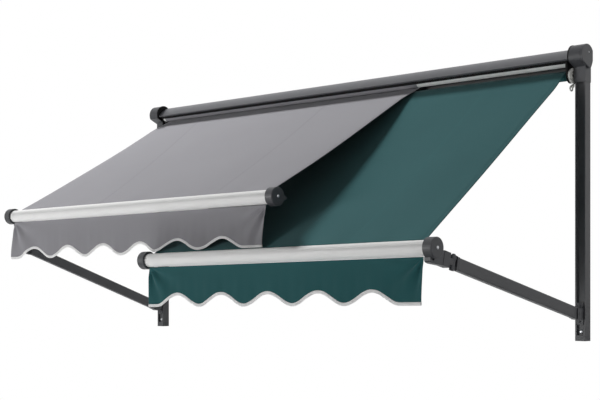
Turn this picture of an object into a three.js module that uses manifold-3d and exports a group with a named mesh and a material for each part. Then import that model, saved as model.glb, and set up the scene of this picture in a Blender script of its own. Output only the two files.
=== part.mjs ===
// Wall awning with one frame and two canopies: a grey one on the left and a green one, let further
// down, on the right. Millimetres. X runs along the wall, Y into it, with the wall's face at Y = 0,
// and Z is up. The origin is on the back of the hood, halfway along.
import * as THREE from "three";
import { mergeVertices } from "three/addons/utils/BufferGeometryUtils.js";
import Module from "manifold-3d";

const manifold = await Module();
manifold.setup();

// Driving dimensions of the frame
const halfWidth = 1321.5;
const postCentre = 1286.5;
const postWidth = 47;
const postDepth = 42;
const postFoot = -1150;
const gap = 0.3;

// Hood, its end castings and the two rollers. A point across the hood is [y, z].
const hoodHalfLength = 1254.5;
const hoodWall = 2.2;
const drumCentre = [-42, 4];
const drumRadius = 48;
const drumFrom = 1259;
const drumTo = 1312;
const greyRoller = [-46, -14];
const greenRoller = [-42, -68.85];
const rollerRadius = 19;
const rollerHalfLength = 1236;
const journalRadius = 6;
const journalEnd = 1253;

// Drive: two spur gears in a case between the rollers, and a worm box with an eye for the crank
const gearModule = 2;
const greyTeeth = 28;
const greenTeeth = 27;
const gearCaseFrom = 1238.8;
const gearCaseTo = 1247;
const wormBoxTo = 1254.4;
const wormCentre = [-19.4, -92.2];
const wormLean = THREE.MathUtils.degToRad(45);

// Arms. Both turn about one line low on the posts, and both bars are barRadius away from it. An arm's
// tube lies a little lower than the line from the pivot to its bar.
const pivot = [-72, -1038.7];
const barRadius = 1021.5;
const barAngle = { green: THREE.MathUtils.degToRad(13.87), grey: THREE.MathUtils.degToRad(26.2) };
const armAngle = { green: THREE.MathUtils.degToRad(12.79), grey: THREE.MathUtils.degToRad(19.6) };
const armDepth = 48;
const armThickness = 24;
const armWall = 2;
const armTubeFrom = -34;
const armTubeTo = -858;
const knucklePin = -883;

// Front bars. Each is held by one arm only, and hangs a little out of level along its length.
const barTubeRadius = 28.5;
const barTubeWall = 3;
const barCapRadius = 38;
const barCapLength = 38.5;
const outerCapTo = 1316;
const greenInnerEnd = -224;
const greyInnerEnd = 496;
const barRise = { green: 0.0163, grey: 0.0075 };

// Cloth
const clothThickness = 1;
const turnsThickness = 1.4;
const scallopPitch = 258;
const greyValanceDrop = [153, 200];
const greenValanceDrop = [141, 188];
const bindingWidth = 9;

const onArc = (angle) => [pivot[0] - barRadius * Math.cos(angle), pivot[1] + barRadius * Math.sin(angle)];
const greenBar = onArc(barAngle.green);
const greyBar = onArc(barAngle.grey);
const outerCapMiddle = outerCapTo - barCapLength / 2;
const armSide = { green: 1, grey: -1 };

const finishes = {
  frame: [0x47484b, 0.5, 0.35],
  casting: [0x3b3c3f, 0.55, 0.2],
  black: [0x1d1d1f, 0.7, 0],
  white: [0xe9e9e6, 0.4, 0.1],
  plastic: [0xdedfdc, 0.5, 0],
  steel: [0xb9bbbd, 0.3, 0.9],
  grey: [0x96959a, 0.95, 0],
  green: [0x2f5a5c, 0.95, 0],
};

const awning = new THREE.Group();

function place(name, geometry, finish, parent = awning) {
  const [color, roughness, metalness] = finishes[finish];
  const mesh = new THREE.Mesh(geometry, new THREE.MeshStandardMaterial({ color, roughness, metalness }));
  mesh.name = name;
  parent.add(mesh);
  return mesh;
}

// Solids: geometry in and out of the boolean library

function solidOf(geometry) {
  const bare = geometry.index ? geometry.toNonIndexed() : geometry.clone();
  bare.deleteAttribute("normal");
  bare.deleteAttribute("uv");
  const merged = mergeVertices(bare, 1e-3);
  return new manifold.Manifold(
    new manifold.Mesh({
      numProp: 3,
      vertProperties: merged.attributes.position.array,
      triVerts: new Uint32Array(merged.index.array),
    }),
  );
}

function geometryOf(solid) {
  const mesh = solid.getMesh();
  const geometry = new THREE.BufferGeometry();
  geometry.setAttribute("position", new THREE.BufferAttribute(mesh.vertProperties, 3));
  geometry.setIndex(new THREE.BufferAttribute(mesh.triVerts, 1));
  return geometry;
}

function join(...geometries) {
  return geometryOf(geometries.map(solidOf).reduce((all, next) => all.add(next)));
}

function cut(geometry, ...tools) {
  return geometryOf(tools.map(solidOf).reduce((left, tool) => left.subtract(tool), solidOf(geometry)));
}

function common(a, b) {
  return geometryOf(solidOf(a).intersect(solidOf(b)));
}

// Outlines across the awning, as [y, z] points, and what is extruded from them along X

function shapeOf(points) {
  return new THREE.Shape(points.map(([a, b]) => new THREE.Vector2(a, b)));
}

function circlePoints([y, z], radius, steps = 40) {
  return Array.from({ length: steps }, (_, i) => {
    const turn = (2 * Math.PI * i) / steps;
    return [y + radius * Math.cos(turn), z + radius * Math.sin(turn)];
  });
}

function ring(centre, outer, inner, steps = 40) {
  const shape = shapeOf(circlePoints(centre, outer, steps));
  shape.holes.push(shapeOf(circlePoints(centre, inner, steps)));
  return shape;
}

// The outline of a strip of even thickness along a line of points
function ribbon(points, thickness) {
  const line = points.map(([a, b]) => new THREE.Vector2(a, b));
  const sides = line.map((point, i) => {
    const before = line[Math.max(i - 1, 0)];
    const after = line[Math.min(i + 1, line.length - 1)];
    const into = point.clone().sub(before).normalize();
    const out = after.clone().sub(point).normalize();
    const along = into.clone().add(out).normalize();
    const square = new THREE.Vector2(-along.y, along.x);
    const reach = thickness / 2 / Math.max(along.dot(i === 0 ? out : into), 0.5);
    return [point.clone().addScaledVector(square, reach), point.clone().addScaledVector(square, -reach)];
  });
  return new THREE.Shape([...sides.map((pair) => pair[0]), ...sides.map((pair) => pair[1]).reverse()]);
}

// The convex outline around some circles, given as [y, z, radius]
function around(circles) {
  const points = circles.flatMap(([y, z, radius]) => circlePoints([y, z], radius, 48));
  points.sort((p, q) => p[0] - q[0] || p[1] - q[1]);
  const half = (list) => {
    const kept = [];
    for (const p of list) {
      while (kept.length > 1 && turns(kept.at(-2), kept.at(-1), p) <= 1e-6) kept.pop();
      kept.push(p);
    }
    return kept.slice(0, -1);
  };
  return shapeOf([...half(points), ...half([...points].reverse())]);
}

function turns([ax, ay], [bx, by], [cx, cy]) {
  return (bx - ax) * (cy - ay) - (by - ay) * (cx - ax);
}

function alongX(shape, from, to) {
  const geometry = new THREE.ExtrudeGeometry(shape, { depth: to - from, bevelEnabled: false, curveSegments: 24 });
  const acrossToYZ = new THREE.Matrix4().makeBasis(
    new THREE.Vector3(0, 1, 0),
    new THREE.Vector3(0, 0, 1),
    new THREE.Vector3(1, 0, 0),
  );
  return geometry.applyMatrix4(acrossToYZ).translate(from, 0, 0);
}

function rodX([y, z], radius, from, to, steps = 24) {
  return alongX(shapeOf(circlePoints([y, z], radius, steps)), from, to);
}

function box(x, y, z) {
  const geometry = new THREE.BoxGeometry(x[1] - x[0], y[1] - y[0], z[1] - z[0]);
  return geometry.translate((x[0] + x[1]) / 2, (y[0] + y[1]) / 2, (z[0] + z[1]) / 2);
}

// A turned piece about a line along X: its profile is a list of [x, radius]
function turnedX(profile, [y, z], steps = 32) {
  const geometry = new THREE.LatheGeometry(profile.map(([x, r]) => new THREE.Vector2(r, x)), steps);
  const axisToX = new THREE.Matrix4().makeBasis(
    new THREE.Vector3(0, 1, 0),
    new THREE.Vector3(1, 0, 0),
    new THREE.Vector3(0, 0, -1),
  );
  return geometry.applyMatrix4(axisToX).translate(0, y, z);
}

// The same piece on the other end of the awning
function mirrored(geometry) {
  const flipped = geometry.toNonIndexed ? (geometry.index ? geometry.toNonIndexed() : geometry.clone()) : geometry;
  flipped.deleteAttribute("normal");
  flipped.deleteAttribute("uv");
  const position = flipped.attributes.position;
  for (let i = 0; i < position.count; i += 3) {
    const [a, b, c] = [0, 1, 2].map((k) => new THREE.Vector3().fromBufferAttribute(position, i + k));
    [a, c, b].forEach((v, k) => position.setXYZ(i + k, -v.x, v.y, v.z));
  }
  return flipped;
}

const onSide = (geometry, side) => (side > 0 ? geometry : mirrored(geometry));
const sides = [["right", 1], ["left", -1]];

// Hood: one profile, open below, with its lip cut away where the grey roller's gear turns

function hoodProfile() {
  const front = new THREE.QuadraticBezierCurve(
    new THREE.Vector2(-24, 39.9),
    new THREE.Vector2(-58, 26),
    new THREE.Vector2(-79.3, -6),
  );
  const curved = front.getPoints(9).map((p) => [p.x, p.y]);
  const back = -hoodWall / 2;
  return ribbon([[back, -52], [back, 34], [-3, 38.4], [-8, 39.9], ...curved, [-77.4, -9.2], [-71, -9.8]], hoodWall);
}

// Black rubber strip under the hood's front edge
function sealStrip() {
  return alongX(ribbon([[-75.2, -12.4], [-73.4, -17.4], [-70.4, -22]], 2.6), -rollerHalfLength, rollerHalfLength);
}

function hood() {
  const profile = alongX(hoodProfile(), -hoodHalfLength, hoodHalfLength);
  return cut(profile, rodX(greyRoller, 30.4, gearCaseFrom, gearCaseTo - 1.4, 48));
}

function drumOutline(radius, inset) {
  const [y, z] = drumCentre;
  const back = -inset;
  const start = Math.acos((back - y) / radius);
  const end = THREE.MathUtils.degToRad(207);
  const arc = Array.from({ length: 31 }, (_, i) => {
    const turn = start + ((end - start) * i) / 30;
    return [y + radius * Math.cos(turn), z + radius * Math.sin(turn)];
  });
  const slant = [[-52 + 0.4 * inset, -33.5 + 0.9 * inset], [-24 + 0.2 * inset, -44.8 + inset]];
  return [...arc, ...slant, [-17, -43 + inset], [back - 8, -30], [back, -12]];
}

const gearboxOutline = (grow) =>
  around([
    [...greyRoller, 32.6 + grow],
    [...greenRoller, 31.6 + grow],
  ]);
const wormBoxOutline = (grow) => around([[...greenRoller, 30 + grow], [...wormCentre, 10 + grow]]);

// End casting: a hollow drum that closes the hood, and below it the socket for the post
function endCasting() {
  const drum = alongX(shapeOf(drumOutline(drumRadius, 0)), drumFrom, drumTo);
  const socket = box([drumFrom + 0.5, drumTo], [-postDepth - 2.4, 0], [-99, -24]);
  const hollow = alongX(shapeOf(drumOutline(drumRadius - 3, 3)), drumFrom - 1, drumTo - 3);
  const pocket = box(
    [postCentre - postWidth / 2 - gap, postCentre + postWidth / 2 + gap],
    [-postDepth - gap, 1],
    [-100, -62],
  );
  const screwHole = rodX(coverScrew, 2.5, drumTo - 5, drumTo + 1, 16);
  return cut(join(cut(drum, hollow), socket), hollow, pocket, screwHole);
}

const coverScrew = [-30, 20];

function coverPlate() {
  const bevel = 1.4;
  const geometry = new THREE.ExtrudeGeometry(shapeOf(drumOutline(drumRadius - bevel, 0.3 + bevel)), {
    depth: halfWidth - drumTo - gap - 2 * bevel,
    bevelThickness: bevel,
    bevelSize: bevel,
    bevelSegments: 2,
  });
  const acrossToYZ = new THREE.Matrix4().makeBasis(
    new THREE.Vector3(0, 1, 0),
    new THREE.Vector3(0, 0, 1),
    new THREE.Vector3(1, 0, 0),
  );
  const plate = geometry.applyMatrix4(acrossToYZ).translate(drumTo + gap + bevel, 0, 0);
  const recess = rodX(coverScrew, 5.2, halfWidth - 2.2, halfWidth + 5, 20);
  return cut(plate, rodX(coverScrew, 2.5, drumTo - 1, halfWidth + 5, 16), recess);
}

// A screw with a domed head, its axis along X and its head at the far end
function screwX(centre, from, seat, headRadius, headHeight, shankRadius) {
  return turnedX(
    [
      [from, 0],
      [from, shankRadius],
      [seat, shankRadius],
      [seat, headRadius],
      [seat + headHeight * 0.6, headRadius * 0.85],
      [seat + headHeight, headRadius * 0.45],
      [seat + headHeight, 0],
    ],
    centre,
    16,
  );
}

// The dark collar between the hood's end and the drum, open round both rollers
function collar() {
  const plate = alongX(shapeOf(drumOutline(drumRadius + 1.2, 0)), drumFrom - 4.2, drumFrom - gap);
  const roomForJournal = alongX(around([[...greyRoller, 24], [...greenRoller, 24]]), drumFrom - 6, drumFrom + 1);
  return cut(plate, roomForJournal);
}

function bearingPlate() {
  const plate = alongX(around([[...greyRoller, 14], [...greenRoller, 14]]), journalEnd - 6, journalEnd - 2);
  const flange = box([journalEnd - 6, journalEnd - 2], [-38, -3], [-31, -22]);
  const holes = [greyRoller, greenRoller].map((c) => rodX(c, journalRadius + gap, journalEnd - 7, journalEnd, 24));
  return cut(join(plate, flange), ...holes);
}

// Posts: square tubes with a shallow groove down the front, closed below by a foot cap

function postOutline(half, grooveDepth) {
  const groove = 16;
  const c = 0.8;
  return [
    [-half + c, 0],
    [-half, -c],
    [-half, -postDepth + c],
    [-half + c, -postDepth],
    [-groove, -postDepth],
    [-groove, -postDepth + grooveDepth],
    [groove, -postDepth + grooveDepth],
    [groove, -postDepth],
    [half - c, -postDepth],
    [half, -postDepth + c],
    [half, -c],
    [half - c, 0],
  ].reverse();
}

function upright(shape, from, to) {
  const geometry = new THREE.ExtrudeGeometry(shape, { depth: to - from, bevelEnabled: false });
  return geometry.translate(postCentre, 0, from);
}

const grooveDepth = 10;
const footCapTop = -1127;
const wallScrewHeight = -1112;
const bracketScrewRise = 33;

function rodY(x, z, radius, from, to, steps = 20) {
  const geometry = new THREE.CylinderGeometry(radius, radius, to - from, steps);
  return geometry.translate(0, (from + to) / 2, 0).translate(x, 0, z);
}

function post() {
  const wall = 2.4;
  const shape = shapeOf(postOutline(postWidth / 2, grooveDepth));
  const inside = postWidth / 2 - wall;
  const floor = -postDepth + grooveDepth + wall;
  shape.holes.push(shapeOf([[-inside, -wall], [-inside, floor], [inside, floor], [inside, -wall]]));
  const tube = upright(shape, footCapTop + gap, -62 - gap);
  const holes = [pivot[1] + bracketScrewRise, pivot[1] - bracketScrewRise].map((z) =>
    rodY(postCentre, z, 2.9, -postDepth, floor + 1),
  );
  return cut(tube, rodY(postCentre, wallScrewHeight, 3.9, -postDepth, 1), ...holes);
}

function footCap() {
  const half = postWidth / 2;
  const c = 0.8;
  const base = upright(
    shapeOf([[-half + c, 0], [-half, -c], [-half, -postDepth + c], [-half + c, -postDepth],
      [half - c, -postDepth], [half, -postDepth + c], [half, -c], [half - c, 0]].reverse()),
    postFoot,
    footCapTop,
  );
  const plug = upright(shapeOf([[-20, -3], [-20, -29], [20, -29], [20, -3]].reverse()), footCapTop - 1, footCapTop + 8);
  return join(base, plug);
}

// A screw with its axis along Y and its head towards the street
function screwY(x, z, headRadius, headHeight, seat, shankRadius, end) {
  const profile = [
    [0, seat - headHeight],
    [headRadius * 0.5, seat - headHeight],
    [headRadius * 0.9, seat - headHeight * 0.6],
    [headRadius, seat],
    [shankRadius, seat],
    [shankRadius, end],
    [0, end],
  ];
  const geometry = new THREE.LatheGeometry(profile.map(([r, y]) => new THREE.Vector2(r, y)), 20);
  return geometry.translate(x, 0, z);
}

// Pivot bracket: a U of sheet steel on the post, its two ears round the end of the arm
const bracketSheet = 3;
const bracketInside = armThickness / 2 + 0.8;

function pivotBracket() {
  const ear = bracketInside + bracketSheet;
  const front = pivot[0] - 15;
  const back = -postDepth - gap;
  const plan = [
    [-ear, back], [-ear, front], [-bracketInside, front], [-bracketInside, back - bracketSheet],
    [bracketInside, back - bracketSheet], [bracketInside, front], [ear, front], [ear, back],
  ];
  const folded = upright(shapeOf(plan), pivot[1] - 44, pivot[1] + 44);
  const foot = back - bracketSheet;
  const side = join(
    alongX(around([[pivot[0] - 9, pivot[1] + 17, 6], [pivot[0] - 9, pivot[1] - 17, 6],
      [foot - 1, pivot[1] + 22, 1], [foot - 1, pivot[1] - 22, 1]]), postCentre - 20, postCentre + 20),
    box([postCentre - 20, postCentre + 20], [foot - 1, back + 1], [pivot[1] - 44, pivot[1] + 44]),
  );
  const screwHoles = [bracketScrewRise, -bracketScrewRise].map((rise) =>
    rodY(postCentre, pivot[1] + rise, 2.9, foot - 5, back + 5),
  );
  const pinHole = rodX(pivot, 5 + gap, postCentre - 25, postCentre + 25);
  return cut(common(folded, side), pinHole, ...screwHoles);
}

function pivotPin() {
  const reach = bracketInside + bracketSheet;
  return turnedX(
    [
      [postCentre - reach - 3, 0],
      [postCentre - reach - 3, 5],
      [postCentre + reach + gap, 5],
      [postCentre + reach + gap, 6.8],
      [postCentre + reach + 1.9, 5.6],
      [postCentre + reach + 1.9, 0],
    ],
    pivot,
    24,
  );
}

// Arms, each drawn level in its own frame: the pivot is the origin and the arm runs along -Y

function roundedRect(halfX, halfZ, corner, steps = 4) {
  const corners = [[1, 1], [-1, 1], [-1, -1], [1, -1]];
  return corners.flatMap(([sx, sz], k) =>
    Array.from({ length: steps + 1 }, (_, i) => {
      const turn = (Math.PI / 2) * (k + i / steps);
      return [
        sx * (halfX - corner) + corner * Math.cos(turn),
        sz * (halfZ - corner) + corner * Math.sin(turn),
      ];
    }),
  );
}

function alongArm(shape, from, to) {
  const geometry = new THREE.ExtrudeGeometry(shape, { depth: from - to, bevelEnabled: false });
  return geometry.rotateX(Math.PI / 2).translate(0, from, 0);
}

function armTube() {
  const shape = shapeOf(roundedRect(armThickness / 2, armDepth / 2, 5));
  shape.holes.push(shapeOf(roundedRect(armThickness / 2 - armWall, armDepth / 2 - armWall, 3)));
  return alongArm(shape, armTubeFrom, armTubeTo);
}

const armPlug = () => shapeOf(roundedRect(armThickness / 2 - armWall - gap, armDepth / 2 - armWall - gap, 2.6));

function armHeel() {
  const half = armDepth / 2;
  const side = around([[0, 0, half], [armTubeFrom + half + gap, 0, half]]);
  const squared = box([-12, 12], [armTubeFrom + gap, -12], [-half, half]);
  const body = join(alongX(side, -armThickness / 2, armThickness / 2), squared);
  const trimmed = cut(body, box([-20, 20], [armTubeFrom - 40, armTubeFrom + gap], [-40, 40]));
  const plug = alongArm(armPlug(), armTubeFrom + 1, armTubeFrom - 45);
  return cut(join(trimmed, plug), rodX([0, 0], 5 + gap, -20, 20));
}

const forkEar = [12, 27];

function armFork() {
  const half = armDepth / 2;
  const neck = box([-armThickness / 2, armThickness / 2], [knucklePin + 12, armTubeTo - gap], [-half, half]);
  const ears = [-1, 1].map((sign) => {
    const z = forkEar.map((value) => value * sign).sort((a, b) => a - b);
    const eye = new THREE.CylinderGeometry(10, 10, z[1] - z[0], 24).rotateX(Math.PI / 2);
    eye.translate(0, knucklePin, (z[0] + z[1]) / 2);
    const web = box([-8, 8], [knucklePin, knucklePin + 16], z);
    return join(eye, web);
  });
  const plug = alongArm(armPlug(), armTubeTo + 45, armTubeTo - 1);
  return cut(join(neck, ...ears, plug), pinHole(-40, 40));
}

function pinHole(from, to) {
  const hole = new THREE.CylinderGeometry(4.5 + gap, 4.5 + gap, to - from, 20).rotateX(Math.PI / 2);
  return hole.translate(0, knucklePin, (from + to) / 2);
}

// The upright pin of the knuckle, with a domed head on top
function hingePin() {
  const seat = forkEar[1] + gap;
  const profile = [
    [0, -forkEar[1] - 2],
    [4.5, -forkEar[1] - 2],
    [4.5, seat],
    [8, seat],
    [7.6, seat + 2.4],
    [5, seat + 4.6],
    [0, seat + 5.4],
  ];
  const geometry = new THREE.LatheGeometry(profile.map(([r, z]) => new THREE.Vector2(r, z)), 24);
  return geometry.rotateX(Math.PI / 2).translate(0, knucklePin, 0);
}

// A bar's end cap: a cup over the end of the tube, with a hole for the axle
function capCup(centre) {
  const from = -barCapLength / 2;
  const to = barCapLength / 2;
  const bore = barTubeRadius + 0.5;
  const soft = 3;
  return turnedX(
    [
      [to - 9, 4], [to - 9, bore], [from, bore], [from, barCapRadius - 1], [from + 1, barCapRadius],
      [to - soft, barCapRadius], [to - 0.9, barCapRadius - 0.9], [to, barCapRadius - soft], [to, 4], [to - 9, 4],
    ],
    centre,
    36,
  );
}

// The knuckle block that the cap's neck carries, and the tongue between the fork's ears
function knuckle() {
  const block = box([-14, 14], [knucklePin - 72, knucklePin - 34], [-27, 27]);
  const tongue = box([-8, 8], [knucklePin - 36, knucklePin], [-11.5, 11.5]);
  const eye = new THREE.CylinderGeometry(9.6, 9.6, 23, 24).rotateX(Math.PI / 2).translate(0, knucklePin, 0);
  return [block, tongue, eye];
}

function outerCap(centre, neck) {
  const offset = outerCapMiddle - postCentre;
  const clearBore = rodX(centre, barTubeRadius + 0.5, -60, offset + barCapLength / 2 - 9, 36);
  const clearAxle = rodX(centre, 4, -60, 60, 16);
  const body = join(...knuckle(), alongX(shapeOf(neck), -13, 13));
  const cup = capCup(centre).translate(offset, 0, 0);
  return cut(join(cup, cut(body, clearBore, clearAxle)), pinHole(-40, 40));
}

// On the green bar the lug is flat under the cap and runs straight back to the knuckle
function greenNeck([y, z]) {
  const under = z - barCapRadius;
  return [
    [y - 12, under + 4], [y - 9, under - 10], [y - 3, under - 14], [y + 12, under - 15],
    [knucklePin - 60, -26], [knucklePin - 50, 10], [knucklePin - 72, 25], [y + 30, 22], [y + 10, -25],
  ];
}

// On the grey bar the neck climbs from the knuckle to the cap, which is why this arm lies lower
function greyNeck([y, z]) {
  return [
    [y + 16, z - 26], [y + 33, z - 56], [knucklePin - 71, -22], [knucklePin - 40, -24],
    [knucklePin - 40, 26], [knucklePin - 48, 46], [y + 54, z - 22], [y + 33, z + 6],
  ].reverse();
}

// Front bars

// A tube along X with two grooves for the cloth's beads, turned down to the given directions
function barTubeShape([y, z], grooves) {
  const steps = 72;
  const outline = Array.from({ length: steps }, (_, i) => {
    const turn = (2 * Math.PI * i) / steps;
    const inGroove = grooves.some((direction) => Math.cos(turn - direction) > Math.cos(0.06));
    const radius = inGroove ? barTubeRadius - 1.6 : barTubeRadius;
    return [y + radius * Math.cos(turn), z + radius * Math.sin(turn)];
  });
  const shape = shapeOf(outline);
  shape.holes.push(shapeOf(circlePoints([y, z], barTubeRadius - barTubeWall, 36)));
  return shape;
}

// Turns a level piece of a bar about the middle of its outer cap, to the bar's own slight slope
function sloped(geometry, colour) {
  const [y, z] = colour === "green" ? greenBar : greyBar;
  const x = armSide[colour] * outerCapMiddle;
  return geometry.translate(-x, -y, -z).rotateY(-Math.atan(barRise[colour])).translate(x, y, z);
}

// The plug in a tube's outer end, with the axle that turns in the end cap
function barAxle(centre) {
  const face = outerCapTo;
  return turnedX(
    [
      [face - 50, 0],
      [face - 50, barTubeRadius - barTubeWall - gap],
      [face - 10, barTubeRadius - barTubeWall - gap],
      [face - 10, 3],
      [face + gap, 3],
      [face + gap, 6.5],
      [face + 2, 6],
      [face + 2.6, 3.5],
      [face + 2.6, 0],
    ],
    centre,
    32,
  );
}

function innerCap(centre, middle, side) {
  const cup = capCup(centre);
  return onSide(cup, side).translate(middle, 0, 0);
}

// Small pointed ear on the back of the grey bar's inner cap
function greyInnerCap(centre) {
  const [y, z] = centre;
  const ear = shapeOf([[y + 33, z - 20], [y + 62, z - 7], [y + 60, z + 1], [y + 34, z + 12]]);
  const middle = greyInnerEnd - barCapLength / 2;
  return join(innerCap(centre, middle, 1), alongX(ear, middle - 8, middle + 8));
}

function innerCapScrew(centre, end, side) {
  const screw = screwX(centre, -30, gap, 6.5, 2.6, 3);
  return onSide(screw, side).translate(end, 0, 0);
}

// Rollers, their end plugs and the drive

function rollerPlug(centre) {
  const inside = rollerRadius - 1.6 - gap;
  return turnedX(
    [
      [rollerHalfLength - 40, 0],
      [rollerHalfLength - 40, inside],
      [rollerHalfLength, inside],
      [rollerHalfLength, journalRadius + 3],
      [rollerHalfLength + 2, journalRadius + 3],
      [rollerHalfLength + 2, journalRadius],
      [journalEnd, journalRadius],
      [journalEnd, 0],
    ],
    centre,
    32,
  );
}

function spurGear([y, z], teeth, phase) {
  const pitchRadius = (gearModule * teeth) / 2;
  const outline = Array.from({ length: teeth }, (_, i) => {
    const middle = phase + (2 * Math.PI * i) / teeth;
    const half = Math.PI / teeth;
    return [
      [-0.68, pitchRadius - 2.4], [-0.40, pitchRadius - 0.6], [-0.2, pitchRadius + 1.7],
      [0.2, pitchRadius + 1.7], [0.40, pitchRadius - 0.6], [0.68, pitchRadius - 2.4],
    ].map(([share, radius]) => [
      y + radius * Math.cos(middle + share * half),
      z + radius * Math.sin(middle + share * half),
    ]);
  }).flat();
  const shape = shapeOf(outline);
  shape.holes.push(shapeOf(circlePoints([y, z], journalRadius + gap, 24)));
  return alongX(shape, gearCaseFrom + 0.8, gearCaseTo - 2.2);
}

const towardsGreen = Math.atan2(greenRoller[1] - greyRoller[1], greenRoller[0] - greyRoller[0]);

function greyGear() {
  return spurGear(greyRoller, greyTeeth, towardsGreen);
}

function greenGear() {
  return spurGear(greenRoller, greenTeeth, towardsGreen + Math.PI + Math.PI / greenTeeth);
}

// A rod along the leaning line of the worm, from and to being distances down it from its middle
function leaning(radius, from, to, steps = 20) {
  const rod = new THREE.CylinderGeometry(radius, radius, to - from, steps);
  return rod.translate(0, -(from + to) / 2, 0).rotateX(Math.PI / 2 - wormLean).translate(0, ...wormCentre);
}

const wormMiddle = (gearCaseTo + gap + wormBoxTo) / 2;

// Gear case: a shell that is open towards the rollers and ends under the hood's lip
function gearCase() {
  const outer = alongX(gearboxOutline(0), gearCaseFrom, gearCaseTo);
  const inner = alongX(gearboxOutline(-2), gearCaseFrom - 1, gearCaseTo - 1.8);
  const holes = [greyRoller, greenRoller].map((c) => rodX(c, journalRadius + gap, gearCaseFrom, gearCaseTo + 1));
  const underHood = box([gearCaseFrom - 1, gearCaseTo + 1], [-90, 0], [-11.3, 40]);
  return cut(outer, inner, underHood, ...holes);
}

// Worm box: a round white housing round the green roller's journal, with a recess in its face
function wormBox() {
  const body = alongX(wormBoxOutline(0), gearCaseTo + gap, wormBoxTo);
  const bore = rodX(greenRoller, journalRadius + gap, gearCaseTo, wormBoxTo + 1);
  const recess = alongX(ring(greenRoller, 21, 11), wormBoxTo - 3, wormBoxTo + 1);
  const shaftHole = leaning(3.8, -8, 40).translate(wormMiddle, 0, 0);
  return cut(body, bore, recess, shaftHole);
}

// Worm shaft with the crank's eye on its end. The thread of the worm is too fine to draw.
function crankEye() {
  const ringRadius = 9.7;
  const shaftEnd = 33;
  const shaft = leaning(2.9, -4, shaftEnd + 3);
  const shoulder = leaning(7.5, 24, 32);
  const eye = new THREE.TorusGeometry(ringRadius, 3.2, 10, 24).rotateY(Math.PI / 2);
  eye.translate(0, -(shaftEnd + ringRadius), 0).rotateX(Math.PI / 2 - wormLean).translate(0, ...wormCentre);
  return join(shaft, shoulder, eye).translate(wormMiddle, 0, 0);
}

// Cloth. A slab of even thickness about a grid of points, each with its own direction across.

function slab(columns, rows, pointAt, acrossAt) {
  const sheetSize = columns * rows;
  const position = [];
  for (const sign of [1, -1]) {
    for (let row = 0; row < rows; row += 1) {
      for (let column = 0; column < columns; column += 1) {
        const point = pointAt(column, row);
        position.push(...point.addScaledVector(acrossAt(column, row), (sign * clothThickness) / 2).toArray());
      }
    }
  }
  const index = [];
  const quad = (a, b, c, d) => index.push(a, b, c, a, c, d);
  const at = (column, row) => row * columns + column;
  for (let row = 0; row + 1 < rows; row += 1) {
    for (let column = 0; column + 1 < columns; column += 1) {
      const [a, b, c, d] = [at(column, row), at(column, row + 1), at(column + 1, row + 1), at(column + 1, row)];
      quad(a, b, c, d);
      quad(c + sheetSize, b + sheetSize, a + sheetSize, d + sheetSize);
    }
  }
  const rim = [];
  for (let column = 0; column + 1 < columns; column += 1) rim.push([at(column, 0), at(column + 1, 0)]);
  for (let row = 0; row + 1 < rows; row += 1) rim.push([at(columns - 1, row), at(columns - 1, row + 1)]);
  for (let column = columns - 1; column > 0; column -= 1) {
    rim.push([at(column, rows - 1), at(column - 1, rows - 1)]);
  }
  for (let row = rows - 1; row > 0; row -= 1) rim.push([at(0, row), at(0, row - 1)]);
  rim.forEach(([a, b]) => quad(a, b, b + sheetSize, a + sheetSize));
  const geometry = new THREE.BufferGeometry();
  geometry.setAttribute("position", new THREE.Float32BufferAttribute(position, 3));
  geometry.setIndex(index);
  return geometry;
}

// A canopy hangs in a shallow curve from its roller to its bar and is a little wider at one end
function canopy({ colour, top, bottom, sag, topEdges, bottomEdges }) {
  const rows = 13;
  const along = (t, from, to) => from + (to - from) * t;
  const pointAt = (column, row) => {
    const t = row / (rows - 1);
    const edge = column === 0 ? 0 : 1;
    const rise = barRise[colour] * (bottomEdges[edge] - armSide[colour] * outerCapMiddle);
    return new THREE.Vector3(
      along(t, topEdges[edge], bottomEdges[edge]),
      along(t, top[0], bottom[0]),
      along(t, top[1], bottom[1] + rise) - 4 * sag * t * (1 - t),
    );
  };
  const acrossAt = (column, row) => {
    const t = row / (rows - 1);
    const rise = top[1] - bottom[1] - 4 * sag * (2 * t - 1);
    return new THREE.Vector3(0, -rise, top[0] - bottom[0]).normalize();
  };
  return slab(2, rows, pointAt, acrossAt);
}

// Where cloth leaves a roller: above is 1 over the top, or -1 from below
function leavesRoller([y, z], slope, above) {
  const reach = rollerRadius + gap + turnsThickness + gap + clothThickness / 2;
  return [y - above * reach * Math.sin(slope), z + above * reach * Math.cos(slope)];
}

// How far the valance's lower edge is below the middle of its bar
function scallop(x, firstArch, arches, [high, low]) {
  const phase = (x - firstArch) / scallopPitch;
  if (phase < -0.5 || phase > arches - 0.5) return low;
  const wave = (1 + Math.cos(2 * Math.PI * phase)) / 2;
  return low - (low - high) * wave;
}

// A valance hangs under its bar. Its lower corners stand a little to the side of its upper ones, by
// flare, and drape moves what leans on the cloth below.
function valance({ bar, from, to, firstArch, arches, drop, flare, drape }) {
  const columns = Math.round((to - from) / (scallopPitch / 10)) + 1;
  const rows = 6;
  const xOf = (column) => from + ((to - from) * column) / (columns - 1);
  const top = barTubeRadius + 1.2;
  const down = (column, row) => {
    const length = scallop(xOf(column), firstArch, arches, drop) + bindingWidth - top;
    return (length * row) / (rows - 1);
  };
  const pointAt = (column, row) => {
    const x = xOf(column);
    const hung = down(column, row);
    const lift = drape(x, hung);
    const lower = smooth((hung - 10) / 160);
    const out = lower * (flare[0] * Math.exp((from - x) / 120) + flare[1] * Math.exp((x - to) / 120));
    return new THREE.Vector3(x + out, bar[0] - 4 + lift[0], bar[1] - top - hung + lift[1]);
  };
  const acrossAt = () => new THREE.Vector3(0, -1, 0);
  return slab(columns, rows, pointAt, acrossAt);
}

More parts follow.
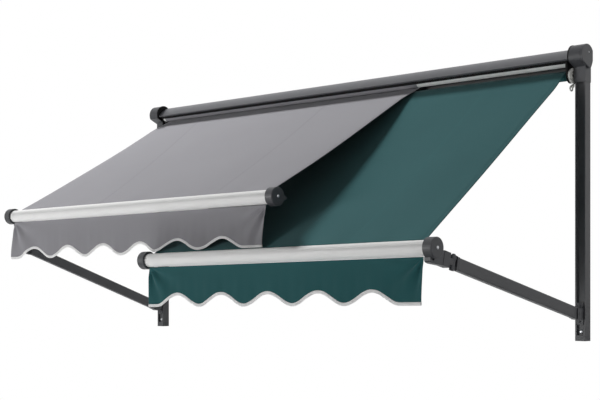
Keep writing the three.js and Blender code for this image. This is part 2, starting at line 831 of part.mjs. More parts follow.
const smooth = (t) => {
  const s = Math.min(Math.max(t, 0), 1);
  return s * s * (3 - 2 * s);
};

const hangsFree = () => [0, 0];

// The grey valance's inner part leans forward, because the green canopy passes under it
function leansOnGreen(x, hung) {
  const length = Math.max(hung, 1);
  const forward = 54 * smooth((x + 330) / 150) * (length / 171) ** 1.5;
  return [-forward, forward ** 2 / (2 * length)];
}

// Everything is placed from here on. First what stands still.

place("hood", hood(), "frame");
place("hood_seal_strip", sealStrip(), "black");

for (const [side, sign] of sides) {
  place(`end_casting_${side}`, onSide(endCasting(), sign), "casting");
  place(`end_cover_${side}`, onSide(coverPlate(), sign), "casting");
  place(`end_cover_screw_${side}`, onSide(screwX(coverScrew, drumTo - 4, halfWidth - 2, 4.6, 2, 2.2), sign), "steel");
  place(`hood_collar_${side}`, onSide(collar(), sign), "black");
  place(`post_${side}`, onSide(post(), sign), "frame");
  place(`post_foot_${side}`, onSide(footCap(), sign), "casting");
  const floor = -postDepth + grooveDepth - gap;
  place(`wall_screw_${side}`, onSide(screwY(postCentre, wallScrewHeight, 8, 4.5, floor, 3.5, 0), sign), "steel");
  place(`pivot_bracket_${side}`, onSide(pivotBracket(), sign), "casting");
  for (const [name, rise] of [["upper", bracketScrewRise], ["lower", -bracketScrewRise]]) {
    const seat = -postDepth - 2 * gap - bracketSheet;
    const screw = screwY(postCentre, pivot[1] + rise, 4.6, 2.6, seat, 2.5, -29);
    place(`bracket_screw_${name}_${side}`, onSide(screw, sign), "steel");
  }
  place(`pivot_pin_${side}`, onSide(pivotPin(), sign), "steel");
}

place("bearing_plate_left", mirrored(bearingPlate()), "black");
place("gear_case", gearCase(), "black");
place("worm_box", wormBox(), "plastic");
place("crank_eye", crankEye(), "plastic");

// Rollers
for (const [colour, centre] of [["grey", greyRoller], ["green", greenRoller]]) {
  const tube = alongX(ring(centre, rollerRadius, rollerRadius - 1.6), -rollerHalfLength, rollerHalfLength);
  place(`${colour}_roller_tube`, tube, "white");
  for (const [side, sign] of sides) {
    place(`${colour}_roller_plug_${side}`, onSide(rollerPlug(centre), sign), "black");
  }
}
place("grey_roller_gear", greyGear(), "steel");
place("green_roller_gear", greenGear(), "steel");

// Arms and what turns with them
for (const colour of ["green", "grey"]) {
  const arm = new THREE.Group();
  arm.position.set(armSide[colour] * postCentre, ...pivot);
  arm.rotation.x = -armAngle[colour];
  awning.add(arm);
  place(`${colour}_arm_tube`, armTube(), "frame", arm);
  place(`${colour}_arm_heel`, armHeel(), "casting", arm);
  place(`${colour}_arm_fork`, armFork(), "casting", arm);
  place(`${colour}_hinge_pin`, hingePin(), "casting", arm);
  const lead = barAngle[colour] - armAngle[colour];
  const barInArm = [-barRadius * Math.cos(lead), barRadius * Math.sin(lead)];
  const neck = colour === "green" ? greenNeck(barInArm) : greyNeck(barInArm);
  const cap = place(`${colour}_outer_cap`, outerCap(barInArm, neck), "casting", arm);
  cap.scale.x = armSide[colour];
}

// Bars: each tube, its inner cap and its axle turn together
const rearTop = THREE.MathUtils.degToRad(55);
const below = THREE.MathUtils.degToRad(262);
for (const [colour, bar, innerEnd] of [["green", greenBar, greenInnerEnd], ["grey", greyBar, greyInnerEnd]]) {
  const side = armSide[colour];
  const ends = [side * (outerCapTo - 10), innerEnd + side * 10].sort((a, b) => a - b);
  const middle = innerEnd + side * (barCapLength / 2);
  const pieces = {
    bar_tube: [alongX(barTubeShape(bar, [rearTop, below]), ...ends), "white"],
    bar_axle: [onSide(barAxle(bar), side), "steel"],
    inner_cap: [colour === "grey" ? greyInnerCap(bar) : innerCap(bar, middle, -side), "casting"],
    inner_cap_screw: [innerCapScrew(bar, innerEnd, -side), "steel"],
  };
  for (const [name, [geometry, finish]] of Object.entries(pieces)) {
    place(`${colour}_${name}`, sloped(geometry, colour), finish);
  }
}

// Canopies, the turns left on their rollers, and valances
const greenSlope = Math.atan2(0.81, 1);
const greySlope = Math.atan2(0.64, 1);
const barEdge = (bar) => [bar[0] + barTubeRadius * 0.62, bar[1] + barTubeRadius * 0.98];

place(
  "green_canopy",
  canopy({
    colour: "green",
    top: leavesRoller(greenRoller, greenSlope, 1),
    bottom: barEdge(greenBar),
    sag: 22,
    topEdges: [-180, 1234],
    bottomEdges: [-183.5, 1250],
  }),
  "green",
);
place(
  "grey_canopy",
  canopy({
    colour: "grey",
    top: leavesRoller(greyRoller, greySlope, -1),
    bottom: barEdge(greyBar),
    sag: 12,
    topEdges: [-1222, 460],
    bottomEdges: [-1268, 440],
  }),
  "grey",
);
const turnsOn = (centre, from, to) =>
  alongX(ring(centre, rollerRadius + gap + turnsThickness, rollerRadius + gap), from, to);
place("green_canopy_turns", turnsOn(greenRoller, -180, 1234), "green");
place("grey_canopy_turns", turnsOn(greyRoller, -1222, 460), "grey");
const greenValance = valance({
  bar: greenBar,
  from: -181,
  to: 1260,
  firstArch: -6,
  arches: 5,
  drop: greenValanceDrop,
  flare: [-4, -10],
  drape: hangsFree,
});
const greyValance = valance({
  bar: greyBar,
  from: -1276,
  to: 433,
  firstArch: -1109,
  arches: 6,
  drop: greyValanceDrop,
  flare: [-30, -22],
  drape: leansOnGreen,
});
place("green_valance", sloped(greenValance, "green"), "green");
place("grey_valance", sloped(greyValance, "grey"), "grey");

export default awning;
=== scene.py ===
import math

import bmesh
import bpy
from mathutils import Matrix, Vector


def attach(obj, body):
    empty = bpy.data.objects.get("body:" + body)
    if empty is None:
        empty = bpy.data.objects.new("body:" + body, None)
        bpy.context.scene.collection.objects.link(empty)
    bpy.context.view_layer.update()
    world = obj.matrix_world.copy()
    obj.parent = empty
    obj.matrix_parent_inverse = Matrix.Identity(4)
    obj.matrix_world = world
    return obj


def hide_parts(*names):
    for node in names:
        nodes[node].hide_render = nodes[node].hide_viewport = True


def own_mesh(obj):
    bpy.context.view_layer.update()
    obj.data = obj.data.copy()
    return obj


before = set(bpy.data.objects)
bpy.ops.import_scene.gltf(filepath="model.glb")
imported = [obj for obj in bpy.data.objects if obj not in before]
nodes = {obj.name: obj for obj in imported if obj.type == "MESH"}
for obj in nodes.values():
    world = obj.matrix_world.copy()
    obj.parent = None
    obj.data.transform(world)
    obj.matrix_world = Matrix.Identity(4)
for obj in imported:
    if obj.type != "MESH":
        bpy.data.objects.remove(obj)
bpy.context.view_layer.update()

# Camera. It stands to the right of the awning and a little below its hood, level, and looks up the
# arms. The long lens is the one that makes the photograph's straight edges meet where they do.
camera = bpy.data.objects.new("camera", bpy.data.cameras.new("camera"))
camera.data.sensor_width = 36
camera.data.lens = 72.852
camera.data.shift_y = 0.13935
camera.data.clip_end = 100
camera.location = (3.76357, -4.44746, -0.9167)
camera.rotation_euler = (math.radians(90), 0, math.radians(42.3404))
bpy.context.scene.collection.objects.link(camera)
bpy.context.scene.camera = camera

# Light. The main lamp is high on the left and behind the hood, as the shade on the green cloth shows,
# and has no mirror image in the paint. Two low lamps fill the fronts and the right flanks. The camera
# and the reflections see plain white behind the awning.
bpy.context.scene.view_settings.view_transform = "Standard"


def lamp(name, place, aim, size, power):
    light = bpy.data.lights.new(name, "AREA")
    light.shape = "DISK"
    light.size = size
    light.energy = power
    holder = bpy.data.objects.new(name, light)
    holder.location = place
    holder.rotation_euler = (Vector(aim) - Vector(place)).to_track_quat("-Z", "Y").to_euler()
    bpy.context.scene.collection.objects.link(holder)
    return holder


main_lamp = lamp("main_lamp", place=(-5.3, 1.4, 6.0), aim=(0, -0.5, -0.4), size=1.8, power=900)
main_lamp.visible_glossy = False
lamp("fill_lamp", place=(-3.5, -6.5, -0.9), aim=(0, -0.8, -0.7), size=2.4, power=140)
lamp("side_lamp", place=(6.5, -2.2, -1.5), aim=(0.5, -0.4, -0.5), size=1.3, power=40)


class Link:
    """An output socket on which Python's operators add Math nodes."""

    def __init__(self, finish, socket):
        self.finish = finish
        self.socket = socket

    def _math(self, operation, *values):
        return self.finish.node("ShaderNodeMath", {"operation": operation}, *values)

    def __add__(self, other):
        return self._math("ADD", self, other)

    def __radd__(self, other):
        return self._math("ADD", other, self)

    def __sub__(self, other):
        return self._math("SUBTRACT", self, other)

    def __rsub__(self, other):
        return self._math("SUBTRACT", other, self)

    def __mul__(self, other):
        return self._math("MULTIPLY", self, other)

    def __rmul__(self, other):
        return self._math("MULTIPLY", other, self)

    def __gt__(self, other):
        return self._math("GREATER_THAN", self, other)

    def __lt__(self, other):
        return self._math("LESS_THAN", self, other)

    def __abs__(self):
        return self._math("ABSOLUTE", self)


class Finish:
    """The nodes of one material or of the world, added one by one, with its surface last."""

    def __init__(self, owner):
        self.owner = owner
        owner.use_nodes = True
        self.tree = owner.node_tree
        self.tree.nodes.clear()

    def node(self, kind, settings=None, *values, output=0, **named):
        """A node of a type, with its settings and the values or links of its sockets."""
        made = self.tree.nodes.new(kind)
        for key, value in (settings or {}).items():
            setattr(made, key, value)
        for key, value in [*enumerate(values), *named.items()]:
            socket = made.inputs[key.replace("_", " ") if isinstance(key, str) else key]
            if isinstance(value, Link):
                self.tree.links.new(value.socket, socket)
            else:
                socket.default_value = value
        return Link(self, made.outputs[output]) if made.outputs else None

    def place(self, scale=(1, 1, 1)):
        """Object coordinates, in metres."""
        where = self.node("ShaderNodeTexCoord", output="Object")
        return self.node("ShaderNodeMapping", None, where, Scale=scale)

    def part(self, axis, vector):
        """One of the three numbers of a vector."""
        return self.node("ShaderNodeSeparateXYZ", None, vector, output=axis)

    def rays(self, question):
        """What Light Path says about the ray that is being traced."""
        return self.node("ShaderNodeLightPath", output=question)

    def noise(self, vector, scale, detail=3, roughness=0.5):
        sockets = {"Vector": vector, "Scale": scale, "Detail": detail, "Roughness": roughness}
        return self.node("ShaderNodeTexNoise", None, **sockets)

    def mix(self, share, first, second):
        """A colour between two colours."""
        sockets = {"Factor": share, "A": first, "B": second}
        return self.node("ShaderNodeMix", {"data_type": "RGBA"}, output="Result", **sockets)

    def clamp(self, value, low, high):
        """A value's share of the way from low to high."""
        return self.node("ShaderNodeMapRange", {"clamp": True}, value, low, high, 0.0, 1.0)

    def bump(self, height, strength, distance):
        return self.node("ShaderNodeBump", None, Height=height, Strength=strength, Distance=distance)

    def show(self, shader, kind="ShaderNodeOutputMaterial"):
        self.node(kind, None, shader)
        return self.owner

    def surface(self, **sockets):
        return self.show(self.node("ShaderNodeBsdfPrincipled", None, **sockets))


white = (1, 1, 1, 1)
sky_light = 0.02
daylight = bpy.data.worlds.new("daylight")
bpy.context.scene.world = daylight
sky = Finish(daylight)
seen = sky.rays("Is Camera Ray") + sky.rays("Is Glossy Ray") + sky.rays("Is Transmission Ray")
strength = sky.node("ShaderNodeMapRange", {"clamp": True}, seen, 0.0, 1.0, sky_light, 1.0)
sky.show(sky.node("ShaderNodeBackground", None, white, strength), "ShaderNodeOutputWorld")

# Floor. The awning's feet end about a metre above the ground, so the floor is far below and only
# shows when the object is seen from above. Far from the camera it is as white as what lies behind.
ground_level = -2.25
floor_shown_to = 9.5
floor_mesh = bmesh.new()
bmesh.ops.create_grid(floor_mesh, x_segments=1, y_segments=1, size=30)
bmesh.ops.translate(floor_mesh, vec=(0, 0, ground_level), verts=floor_mesh.verts)
floor_data = bpy.data.meshes.new("floor")
floor_mesh.to_mesh(floor_data)
floor_mesh.free()
floor = bpy.data.objects.new("floor", floor_data)
bpy.context.scene.collection.objects.link(floor)


def srgb(red, green, blue):
    """A colour from its 0 to 255 values on a screen."""

    def linear(value):
        return value / 12.92 if value <= 0.04045 else ((value + 0.055) / 1.055) ** 2.4

    return (linear(red / 255), linear(green / 255), linear(blue / 255), 1.0)


paving = Finish(bpy.data.materials.new("pale_floor"))
floor_tone = paving.noise(paving.place(), scale=1.5)
floor_shader = paving.node(
    "ShaderNodeBsdfPrincipled",
    None,
    Base_Color=paving.mix(floor_tone, srgb(236, 236, 236), srgb(242, 242, 242)),
    Roughness=0.9,
)
floor_light = paving.node("ShaderNodeEmission", None, white, 1.0)
far_away = paving.rays("Ray Length") > floor_shown_to
hidden = paving.rays("Is Camera Ray") * far_away
floor_data.materials.append(
    paving.show(paving.node("ShaderNodeMixShader", None, hidden, floor_shader, floor_light))
)

# Frame profiles: hood, posts and arm tubes. They are aluminium with an anthracite powder coat, whose
# fine orange peel scatters the light a little, and which has paled slightly where rain runs. The hood
# is coated a paler grey, and below its lip it is painted near black: painted shade inside the hood.


def coat(name, dark, light, roughness, grain=1500.0, shade_below_lip=None, lip=-0.0125):
    """Paint with clouds, rubbed marks and a grain. Below the hood's lip it can take a near-black colour
    as painted shade.
    """
    paint = Finish(bpy.data.materials.new(name))
    where = paint.place()
    cloud = paint.noise(where, scale=4.0, detail=4)
    speck = paint.noise(where, scale=grain, detail=1)
    rub = paint.noise(paint.place((3, 3, 0.6)), scale=14.0, detail=5, roughness=0.65)
    tone = paint.clamp(cloud * 0.6 + rub * 0.25 + speck * 0.15, low=0.3, high=0.7)
    colour = paint.mix(tone, dark, light)
    # Below the lip the paint colour is replaced by painted shade.
    if shade_below_lip:
        colour = paint.mix(paint.part("Z", where) < lip, colour, shade_below_lip)
    return paint.surface(
        Base_Color=colour,
        Roughness=paint.clamp(rub, low=0.2, high=0.8) * 0.12 + roughness,
        Metallic=0.0,
        Normal=paint.bump(speck, strength=0.25, distance=0.0002),
    )


def finish_nodes(material, *names):
    for name in names:
        nodes[name].data.materials.clear()
        nodes[name].data.materials.append(material)


powder_coat = coat("powder_coat", dark=srgb(66, 67, 70), light=srgb(78, 79, 82), roughness=0.36)
hood_coat = coat(
    "hood_coat",
    dark=srgb(88, 89, 93),
    light=srgb(100, 101, 105),
    roughness=0.36,
    # Near black below the lip: painted shade inside the hood.
    shade_below_lip=srgb(12, 12, 13),
)
finish_nodes(powder_coat, "post_left", "post_right", "green_arm_tube", "grey_arm_tube")
finish_nodes(hood_coat, "hood")

# Castings: hood ends, brackets, arm joints and bar caps, with the screws and pins that are painted
# with them. Die-cast aluminium in the same anthracite, a little smoother and darker than the profiles.
cast_paint = coat(
    "cast_paint",
    dark=srgb(54, 55, 59),
    light=srgb(70, 72, 76),
    roughness=0.38,
    grain=900.0,
)
sides = ("left", "right")
colours = ("green", "grey")
painted = ("end_casting", "end_cover", "post_foot", "pivot_bracket", "pivot_pin")
painted += ("bracket_screw_upper", "bracket_screw_lower")
arm_castings = ("arm_heel", "arm_fork", "hinge_pin", "outer_cap", "inner_cap")
finish_nodes(cast_paint, *(f"{casting}_{side}" for casting in painted for side in sides))
finish_nodes(cast_paint, *(f"{colour}_{casting}" for casting in arm_castings for colour in colours))

# Black moulded pieces: the collars and the strip of the hood, the roller plugs, the gear case and the
# bearing plate. Matt plastic and rubber, which hardly shine.
moulding = Finish(bpy.data.materials.new("black_moulding"))
moulding_tone = moulding.noise(moulding.place(), scale=60.0)
moulding_grain = moulding.noise(moulding.place(), scale=1100.0, detail=1)
black_moulding = moulding.surface(
    Base_Color=moulding.mix(moulding_tone, srgb(12, 12, 13), srgb(20, 20, 21)),
    Roughness=moulding_tone * 0.15 + 0.6,
    Specular_IOR_Level=0.15,
    Normal=moulding.bump(moulding_grain, strength=0.3, distance=0.0002),
)
finish_nodes(black_moulding, "bearing_plate_left", "gear_case", "hood_seal_strip")
finish_nodes(black_moulding, *(f"hood_collar_{side}" for side in sides))
finish_nodes(black_moulding, *(f"{colour}_roller_plug_{side}" for colour in colours for side in sides))

# Front bars: extruded aluminium tubes in white enamel. The lines that the die leaves along them just
# show, and dust dims them in patches.
enamel = Finish(bpy.data.materials.new("white_enamel"))
die_lines = enamel.noise(enamel.place((0.02, 60, 60)), scale=12.0, detail=2)
dust = enamel.noise(enamel.place(), scale=7.0, detail=4)
white_enamel = enamel.surface(
    Base_Color=enamel.mix(dust, srgb(250, 250, 249), srgb(255, 255, 254)),
    Roughness=die_lines * 0.08 + 0.42,
    Normal=enamel.bump(die_lines, strength=0.03, distance=0.0002),
)
finish_nodes(white_enamel, *(f"{colour}_bar_tube" for colour in colours))

# Rollers: steel tubes in smooth white paint, which show as a pale line under the hood where no cloth
# covers them.
roller_paint = Finish(bpy.data.materials.new("roller_paint"))
roller_cloud = roller_paint.noise(roller_paint.place((0.3, 1, 1)), scale=20.0, detail=2)
roller_white = roller_paint.surface(
    Base_Color=roller_paint.mix(roller_cloud, srgb(246, 246, 244), srgb(252, 252, 250)),
    Roughness=roller_cloud * 0.06 + 0.22,
)
finish_nodes(roller_white, *(f"{colour}_roller_tube" for colour in colours))

# Worm box and crank eye: off-white nylon, slightly glossy and a little yellowed. The box sits on the
# gear case, and the eye turns with the worm's shaft.
nylon = Finish(bpy.data.materials.new("nylon"))
nylon_tone = nylon.noise(nylon.place(), scale=45.0)
nylon_grain = nylon.noise(nylon.place(), scale=700.0, detail=2)
white_nylon = nylon.surface(
    Base_Color=nylon.mix(nylon_tone, srgb(226, 226, 220), srgb(238, 238, 234)),
    Roughness=nylon_tone * 0.1 + 0.32,
    Normal=nylon.bump(nylon_grain, strength=0.2, distance=0.0002),
)
finish_nodes(white_nylon, "worm_box", "crank_eye")

# Bare screws, gears and bar axles: zinc-plated steel, dulled in patches by the weather. The plating
# keeps the fine turned lines of the steel.
zinc = Finish(bpy.data.materials.new("zinc_plate"))
zinc_patch = zinc.clamp(zinc.noise(zinc.place(), scale=160.0, detail=4), low=0.35, high=0.7)
turned_lines = zinc.noise(zinc.place((1, 1, 8)), scale=400.0, detail=2)
zinc_plate = zinc.surface(
    Base_Color=zinc.mix(zinc_patch, srgb(200, 202, 205), srgb(160, 162, 166)),
    Metallic=1.0,
    Roughness=zinc_patch * 0.25 + 0.25,
    Normal=zinc.bump(turned_lines, strength=0.15, distance=0.0002),
)
bare_screws = ("end_cover_screw", "wall_screw")
bare_steel = ("bar_axle", "roller_gear", "inner_cap_screw")
finish_nodes(zinc_plate, *(f"{screw}_{side}" for screw in bare_screws for side in sides))
finish_nodes(zinc_plate, *(f"{colour}_{steel}" for steel in bare_steel for colour in colours))

# Awning cloth: solution-dyed acrylic, woven with a fine rib from side to side. The lengths are
# joined front to back by narrow glued seams, and weather leaves faint clouds in the colour.


def awning_cloth(name, dye, worn, seams, seam_shade, stitch_tone):
    """Cloth mapped in metres. Each seam is where it starts across, and its lean along the cloth."""
    warp_pitch, weft_pitch = 0.0011, 0.0016
    seam_half_width, stitch_width = 0.0055, 0.0009
    turn = 2 * math.pi
    cloth = Finish(bpy.data.materials.new(name))
    uv_map = cloth.node("ShaderNodeTexCoord", output="UV")
    across = cloth.part("X", uv_map)
    along = cloth.part("Y", uv_map)
    sine = {"operation": "SINE"}
    warp = cloth.node("ShaderNodeMath", sine, across * (turn / warp_pitch))
    weft = cloth.node("ShaderNodeMath", sine, along * (turn / weft_pitch))
    drawn_out = cloth.node("ShaderNodeMapping", None, uv_map, Scale=(30, 600, 1))
    slub = cloth.noise(drawn_out, scale=1.0, detail=2)
    cloud = cloth.noise(uv_map, scale=2.2, detail=4)
    thread = warp * 0.25 + weft * 0.35 + slub * 0.8
    tone = cloth.clamp(cloud * 0.75 + thread * 0.12, low=0.2, high=0.8)
    colour = cloth.mix(tone, dye, worn)
    stitch_shade = (*(stitch_tone * value for value in dye[:3]), 1)
    height = thread
    for start, lean in seams:
        away = abs(across - (along * lean + start))
        seam = away < seam_half_width
        stitch = abs(away - seam_half_width) < stitch_width
        colour = cloth.mix(seam * 0.5, colour, seam_shade)
        colour = cloth.mix(stitch * 0.45, colour, stitch_shade)
        height = height + seam * 1.6
    return cloth.surface(
        Base_Color=colour,
        Roughness=slub * 0.1 + 0.82,
        Specular_IOR_Level=0.25,
        Sheen_Weight=0.12,
        Sheen_Roughness=0.5,
        Normal=cloth.bump(height, strength=0.35, distance=0.0003),
    )


grey = {
    "dye": srgb(154, 153, 158),
    "worn": srgb(160, 159, 164),
    "seam_shade": srgb(150, 149, 154),
    "stitch_tone": 0.7,
}
green = {
    "dye": srgb(34, 88, 91),
    "worn": srgb(42, 96, 99),
    "seam_shade": srgb(38, 92, 95),
    "stitch_tone": 1.5,
}
grey_cloth = awning_cloth("grey_cloth", seams=[(0.313, 0.28), (1.214, 0.143)], **grey)
green_cloth = awning_cloth("green_cloth", seams=[(1.0585, 0.02)], **green)
grey_valance_cloth = awning_cloth("grey_valance_cloth", seams=[], **grey)
green_valance_cloth = awning_cloth("green_valance_cloth", seams=[], **green)

# Canopies. Each is a stretched sheet that leaves its roller in line with it, sags a little on its way
# to the bar, and has a turned hem down each side.
# Only the outer end of a bar is held, so both bars hang a little out of level, and the cloth with them.
bar_hinge = {"green": 1.29675, "grey": -1.29675}
bar_rise = {"green": 0.0163, "grey": 0.0075}


def mid(a, b, share):
    return a + (b - a) * share


def smooth(value):
    value = min(max(value, 0), 1)
    return value * value * (3 - 2 * value)


def sheet_piece(name, point, thickness, columns, rows):
    """A sheet of even thickness. With i and j from 0 to 1, point(i, j) gives a place and its map."""
    grid = bmesh.new()
    bmesh.ops.create_grid(grid, x_segments=columns, y_segments=rows, size=0.5)
    uv = grid.loops.layers.uv.new("cloth")
    mapped = {}
    for vertex in grid.verts:
        place, flat = point(vertex.co.x + 0.5, 0.5 - vertex.co.y)
        vertex.co = place
        mapped[vertex] = flat
    for face in grid.faces:
        for loop in face.loops:
            loop[uv].uv = mapped[loop.vert]
    bmesh.ops.recalc_face_normals(grid, faces=grid.faces)
    for face in grid.faces:
        face.smooth = True
    mesh = bpy.data.meshes.new(name)
    grid.to_mesh(mesh)
    grid.free()
    piece = bpy.data.objects.new(name, mesh)
    bpy.context.scene.collection.objects.link(piece)
    wall = piece.modifiers.new("thickness", "SOLIDIFY")
    wall.thickness = thickness
    wall.offset = 0
    wall.use_even_offset = False
    return piece


def settle(piece):
    """Applies the modifiers, so that the mesh is final."""
    bpy.context.view_layer.update()
    done = piece.evaluated_get(bpy.context.evaluated_depsgraph_get())
    mesh = bpy.data.meshes.new_from_object(done)
    piece.modifiers.clear()
    piece.data = mesh
    return piece


def canopy(colour, top, low, sag, top_edges, low_edges, ease, bow, cloth):
    """The canopy from its roller, top, to its bar, low."""
    hem_width, hem_slope, hem_lift = 0.018, 0.004, 0.0009
    flutter_lift, flutter_fade = 0.0022, 0.25
    waves_across, waves_along = 9, 5
    gather_lift, gather_pitch, gather_fade = 0.0012, 0.21, 0.12
    eased_by = 0.12
    extra_sag = 0.25
    thickness = 0.0008
    length = math.dist(top, low)
    top_width, low_width = (edges[1] - edges[0] for edges in (top_edges, low_edges))
    down = Vector((0, low[0] - top[0], low[1] - top[1])).normalized()
    out = Vector((0, down.z, -down.y))

    def point(i, j):
        x = mid(mid(*top_edges, i), mid(*low_edges, i), j)
        x += mid(*ease, i) * (1 - smooth(j / eased_by))
        x += bow * (1 - 2 * i) * 4 * j * (1 - j)
        inward = min(i, 1 - i) * mid(top_width, low_width, j)
        hem = hem_lift * (1 - min(max((inward - hem_width) / hem_slope, 0), 1))
        belly = sag * 4 * j * (1 - j) * (1 + extra_sag * math.sin(math.pi * i))
        flutter = flutter_lift * math.sin(waves_across * x + waves_along * j) * math.sin(math.pi * j)
        flutter *= math.exp(-inward / flutter_fade)
        gather = gather_lift * math.sin(2 * math.pi * x / gather_pitch)
        gather *= math.exp(-(1 - j) * length / gather_fade)
        climb = bar_rise[colour] * (mid(*low_edges, i) - bar_hinge[colour])
        place = Vector((x, mid(top[0], low[0], j), mid(top[1], low[1] + climb, j) - belly))
        return place - out * (hem + flutter + gather), (x - low_edges[0], j * length)

    piece = settle(sheet_piece(f"{colour}_canopy_sheet", point, thickness, columns=240, rows=120))
    piece.data.materials.append(cloth)
    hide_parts(f"{colour}_canopy")
    length * (top_width + low_width) / 2
    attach(piece, "frame")
    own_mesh(piece)


canopy(
    "green",
    top=(-0.0555, -0.0523),
    low=(-1.0460, -0.7659),
    sag=0.022,
    top_edges=(-0.1835, 1.247),
    low_edges=(-0.1835, 1.253),
    ease=(0.0035, -0.013),
    bow=0.023,
    cloth=green_cloth,
)
canopy(
    "grey",
    top=(-0.0345, -0.0320),
    low=(-0.9709, -0.5598),
    sag=0.012,
    top_edges=(-1.254, 0.450),
    low_edges=(-1.264, 0.440),
    ease=(0.032, 0.024),
    bow=0.003,
    cloth=grey_cloth,
)

# Turns of cloth left on each roller. They are the end of the canopy's cloth, fixed along the tube and
# wound round it once and a quarter.


def turns(colour, centre, edges, start, sense, cloth):
    """The cloth wound on a roller from an angle in degrees, one way or the other by sense."""
    loops = 1.25
    inner, outer = 0.0193, 0.0207
    thickness = 0.0006
    length = loops * 2 * math.pi * (inner + outer) / 2

    def point(i, j):
        x = mid(*edges, i)
        angle = math.radians(start) + sense * 2 * math.pi * loops * j
        radius = mid(outer, inner, j)
        y = centre[0] + radius * math.cos(angle)
        z = centre[1] + radius * math.sin(angle)
        return Vector((x, y, z)), (x - edges[0], j * length)

    piece = settle(sheet_piece(f"{colour}_canopy_roll", point, thickness, columns=24, rows=96))
    piece.data.materials.append(cloth)
    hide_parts(f"{colour}_canopy_turns")
    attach(piece, f"{colour}_roller")


turns(
    "green",
    centre=(-0.042, -0.06885),
    edges=(-0.180, 1.234),
    start=130,
    sense=-1,
    cloth=green_cloth,
)
turns(
    "grey",
    centre=(-0.046, -0.014),
    edges=(-1.222, 0.476),
    start=-58,
    sense=1,
    cloth=grey_cloth,
)

# Valances. Each hangs from a groove under its bar, cut in scallops, with a white tape folded over the
# lower edge and sewn. The inner part of the grey one leans forward over the green canopy under it.
bar_centre = {"green": (-1.06371, -0.79383), "grey": (-0.98855, -0.58769)}
tape = Finish(bpy.data.materials.new("white_tape"))
tape_uv = tape.node("ShaderNodeTexCoord", output="UV")
tape_cloud = tape.noise(tape_uv, scale=9.0)
diagonal = {"wave_type": "BANDS", "bands_direction": "DIAGONAL"}
tape_weave = tape.node("ShaderNodeTexWave", diagonal, tape_uv, Scale=260.0, Distortion=1.5)
white_tape = tape.surface(
    Base_Color=tape.mix(tape_cloud, srgb(248, 248, 248), srgb(254, 254, 254)),
    Roughness=0.8,
    Normal=tape.bump(tape_weave, strength=0.3, distance=0.0003),
)


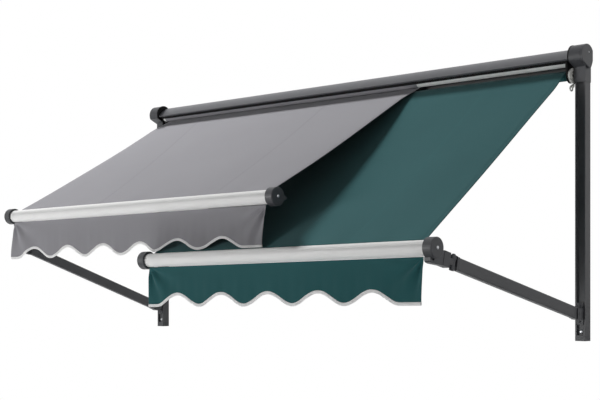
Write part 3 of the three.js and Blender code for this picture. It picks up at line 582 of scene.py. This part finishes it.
def valance(colour, edges, first_arch, arches, drop, flare, cloth, drape, folds):
    """A valance between two edges. Drop is how far below the bar's middle its arches and its points
    end, flare is how far its lower corners stand to the side, and folds fan out from its upper ones."""
    pitch, groove = 0.2587, 0.0297
    in_front = 0.004
    column_width = 0.0043
    under_tape = 0.006
    tape_width, tape_middle, tape_bulge = 0.024, 0.010, 0.0011
    near = 0.001
    ripple_lift, ripple_pitch = 0.0006, 0.057
    wave_lift, wave_pitch = 0.0014, 0.171
    waves_start_over = 0.12
    fold_lift, folds_round, fold_start, fold_reach = 0.0062, 9, 0.05, 0.18
    flare_fade, flare_start, flare_over = 0.12, 0.010, 0.160
    thickness, tape_thickness = 0.0008, 0.0005
    left, right = edges
    high, low = drop
    rise = bar_rise[colour]
    centre = bar_centre[colour]
    columns = round((right - left) / column_width)

    def cut(x):
        """How far below the middle of the bar the valance ends at x."""
        phase = (x - first_arch) / pitch
        if phase < -0.5 or phase > arches - 0.5:
            return low
        return low - (low - high) * (1 + math.cos(2 * math.pi * phase)) / 2

    def relief(x, down):
        """How far the cloth stands in front of its plane: soft waves, and the folds at its corners."""
        ripple = ripple_lift * math.sin(2 * math.pi * x / ripple_pitch + 1.3 * math.sin(7 * x))
        ripple += wave_lift * math.sin(2 * math.pi * x / wave_pitch + 0.8)
        ripple *= smooth(down / waves_start_over)
        for corner, depth in zip(edges, folds):
            away = abs(x - corner)
            reach = math.hypot(away, down)
            angle = math.atan2(down, away + 1e-6)
            fade = smooth(reach / fold_start) * math.exp(-((reach / fold_reach) ** 2))
            ripple += depth * fold_lift * math.sin(folds_round * angle) * fade
        return ripple

    def hang(x, s):
        """The point of the cloth at x, s below the middle of the bar."""
        down = s - groove
        forward, lift, sideways = drape(x, down)
        out = flare[0] * math.exp((left - x) / flare_fade) + flare[1] * math.exp((x - right) / flare_fade)
        across = x + out * smooth((down - flare_start) / flare_over) + rise * s + sideways
        height = lift - s + rise * (x - bar_hinge[colour])
        return Vector((across, centre[0] - in_front - relief(x, down) - forward, centre[1] + height))

    def point(i, j):
        x = mid(*edges, i)
        s = mid(groove, cut(x) + under_tape, j)
        return hang(x, s), (x - left, s)

    def tape_point(i, j):
        x = mid(*edges, i)
        slope = (cut(x + near) - cut(x - near)) / (2 * near)
        square = Vector((slope, -1)) / math.hypot(slope, 1)
        from_fold = abs(2 * j - 1)
        at = Vector((x, cut(x) + tape_middle)) + square * from_fold * tape_width / 2
        at.x = min(max(at.x, left), right)
        side = 1 if j > 0.5 else -1
        bulge = side * tape_bulge * min(from_fold * 6, 1) ** 0.5
        return hang(at.x, at.y) + Vector((0, bulge, 0)), (x - left, j * tape_width)

    def cloth_area(steps=400):
        middles = (mid(*edges, (step + 0.5) / steps) for step in range(steps))
        return sum(cut(x) + under_tape - groove for x in middles) * (right - left) / steps

    piece = settle(sheet_piece(f"{colour}_valance_sheet", point, thickness, columns, rows=40))
    piece.data.materials.append(cloth)
    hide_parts(f"{colour}_valance")
    binding = sheet_piece(f"{colour}_valance_tape", tape_point, tape_thickness, columns, rows=12)
    binding = settle(binding)
    binding.data.materials.append(white_tape)
    cloth_area()
    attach(piece, f"{colour}_bar")
    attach(binding, f"{colour}_bar")


def hangs_free(x, down):
    return 0, 0, 0


def leans_on_green(x, down):
    """Forward, up and sideways moves of a point of the grey valance, from where it would hang."""
    most, full_length = 0.054, 0.171
    starts_at, grows_over = -0.33, 0.15
    least_aside, more_aside = 0.6, 0.42
    turns_at, turns_over = -0.074, 0.26
    length = max(down, 0.001)
    forward = most * smooth((x - starts_at) / grows_over) * (length / full_length) ** 1.5
    sideways = forward * (least_aside + more_aside * smooth((x - turns_at) / turns_over))
    return forward, forward**2 / (2 * length), sideways


valance(
    "green",
    edges=(-0.181, 1.260),
    first_arch=-0.006,
    arches=5,
    drop=(0.141, 0.188),
    flare=(-0.004, -0.010),
    cloth=green_valance_cloth,
    drape=hangs_free,
    folds=(1, 1),
)
valance(
    "grey",
    edges=(-1.276, 0.433),
    first_arch=-1.109,
    arches=6,
    drop=(0.153, 0.200),
    flare=(-0.030, -0.022),
    cloth=grey_valance_cloth,
    drape=leans_on_green,
    folds=(1, 1.4),
)
